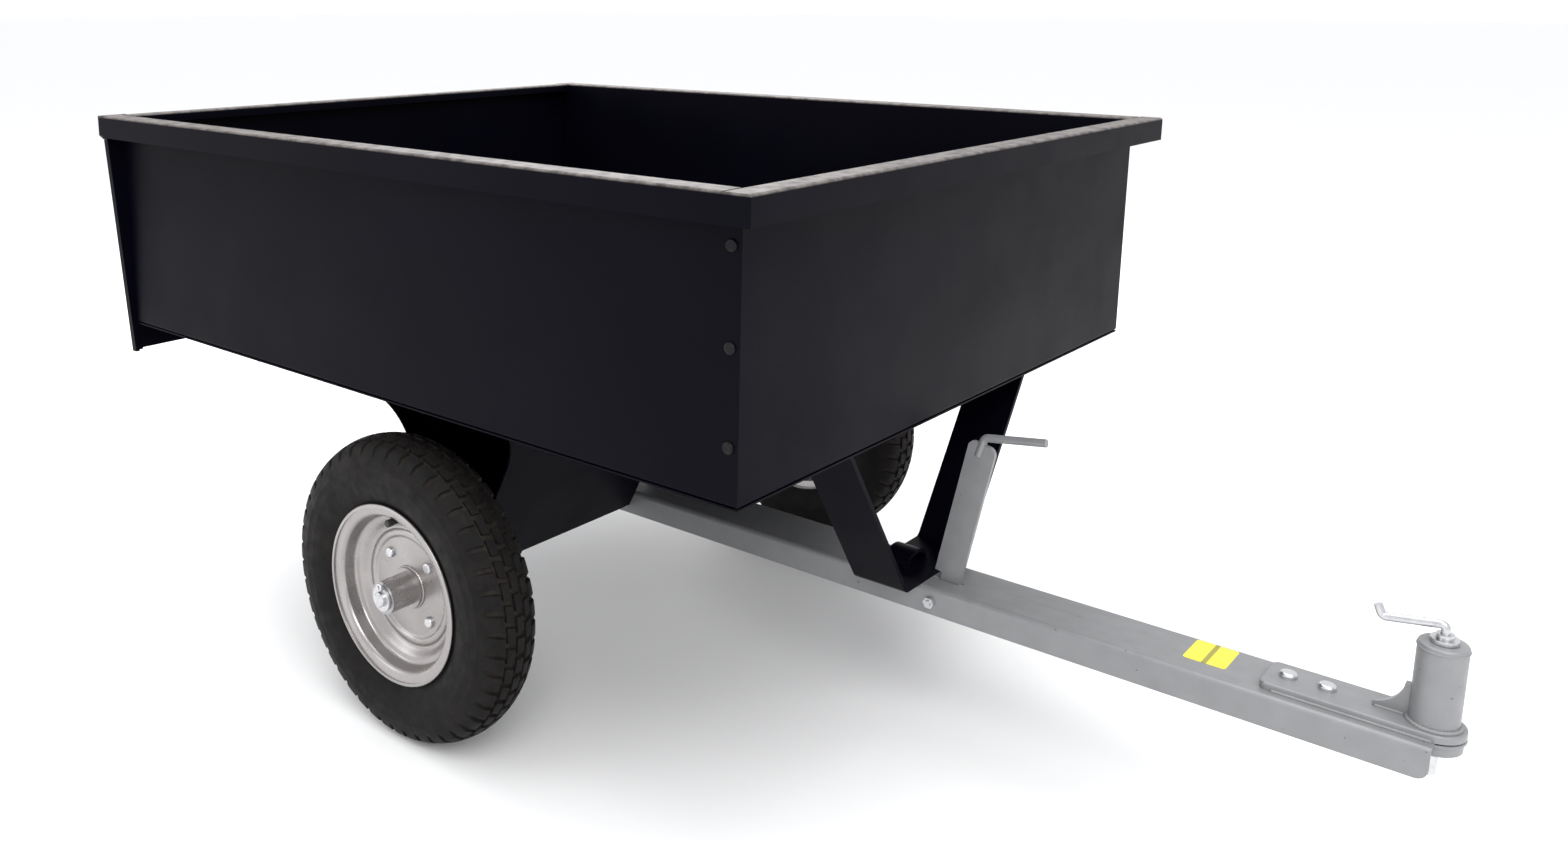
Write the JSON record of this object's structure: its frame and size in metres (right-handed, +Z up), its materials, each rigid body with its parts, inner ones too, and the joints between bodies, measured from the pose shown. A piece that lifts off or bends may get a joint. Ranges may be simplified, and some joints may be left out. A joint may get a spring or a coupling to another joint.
{
  "type": "tow behind cart",
  "caption": "Tipping steel garden cart with a lift-out tailgate, pneumatic wheels and a long drawbar with a hitch pin, towed behind a ride-on mower.",
  "frame": {"origin": "under the middle of the cart's whole length and width, on the ground plane the tyres stand on", "axes": "+X forward along the drawbar, +Y to the cart's left, +Z up"},
  "size_m": [1.707, 1.022, 0.766],
  "materials": {
    "black_paint": "satin powder coat",
    "grey_paint": "silver-grey paint",
    "black_screws": "black oxide",
    "silver_paint": "silver enamel",
    "bright_steel": "drawn bar, plated",
    "bearing_steel": "ground",
    "plated_steel": "zinc plated",
    "tyre": "moulded rubber",
    "tube_rubber": "smooth butyl rubber",
    "valve_rubber": "smooth",
    "bush_plastic": "matt nylon",
    "yellow_label": "vinyl film"
  },
  "bodies": {
    "drawbar_frame": {"drawbar": "grey_paint", "drawbar_label": "yellow_label", "axle": "bright_steel", "axle_collars": "bright_steel", "cotter_pins": "plated_steel", "hitch_plate": "grey_paint", "hitch_ring": "grey_paint", "hitch_sleeve": "grey_paint", "sleeve_cap": "grey_paint", "hitch_gusset": "grey_paint", "hitch_screws": "plated_steel", "latch_pivot_bolt": "plated_steel", "latch_spacers": "plated_steel"},
    "tub": {"bed_floor": "black_paint", "side_panel_left": "black_paint", "side_panel_right": "black_paint", "front_panel": "black_paint", "rim_corner_caps": "black_paint", "gate_channel_left": "black_paint", "gate_channel_right": "black_paint", "axle_support_front": "black_paint", "axle_support_rear": "black_paint", "axle_pipe_left": "black_paint", "axle_pipe_right": "black_paint", "axle_bushes": "bush_plastic", "v_bracket": "black_paint", "lock_loop": "black_paint", "panel_screws": "black_screws", "support_screws": "black_screws", "v_bracket_screws": "black_screws"},
    "tailgate": {"tailgate": "black_paint"},
    "latch": {"latch_lever": "grey_paint"},
    "hitch_pin": {"hitch_pin": "bright_steel"},
    "wheel_left": {"tyre_left": "tyre", "inner_tube_left": "tube_rubber", "outer_rim_left": "silver_paint", "inner_rim_left": "silver_paint", "hub_left": "silver_paint", "wheel_bearings_left": "bearing_steel", "valve_left": "valve_rubber", "rim_screws_left": "plated_steel"},
    "wheel_right": {"tyre_right": "tyre", "inner_tube_right": "tube_rubber", "outer_rim_right": "silver_paint", "inner_rim_right": "silver_paint", "hub_right": "silver_paint", "wheel_bearings_right": "bearing_steel", "valve_right": "valve_rubber", "rim_screws_right": "plated_steel"}
  },
  "joints": [
    {"name": "tub_tip", "type": "hinge", "parent": "drawbar_frame", "child": "tub", "pos_m": [-0.2245, 0, 0.2], "axis": [0, -1, 0], "range_deg": [0, 35]},
    {"name": "tailgate_slide", "type": "slide", "parent": "tub", "child": "tailgate", "axis": [0, 0, 1], "range_m": [0, 0.36]},
    {"name": "latch_swing", "type": "hinge", "parent": "drawbar_frame", "child": "latch", "pos_m": [0.2865, -0.01, 0.195], "axis": [0, -1, 0], "range_deg": [0, 16]},
    {"name": "pin_lift", "type": "slide", "parent": "drawbar_frame", "child": "hitch_pin", "axis": [0, 0, 1], "range_m": [0, 0.16]},
    {"name": "wheel_left_spin", "type": "hinge", "parent": "drawbar_frame", "child": "wheel_left", "pos_m": [-0.2245, 0.456, 0.2], "axis": [0, 1, 0], "continuous": true},
    {"name": "wheel_right_spin", "type": "hinge", "parent": "drawbar_frame", "child": "wheel_right", "pos_m": [-0.2245, -0.456, 0.2], "axis": [0, 1, 0], "continuous": true}
  ]
}
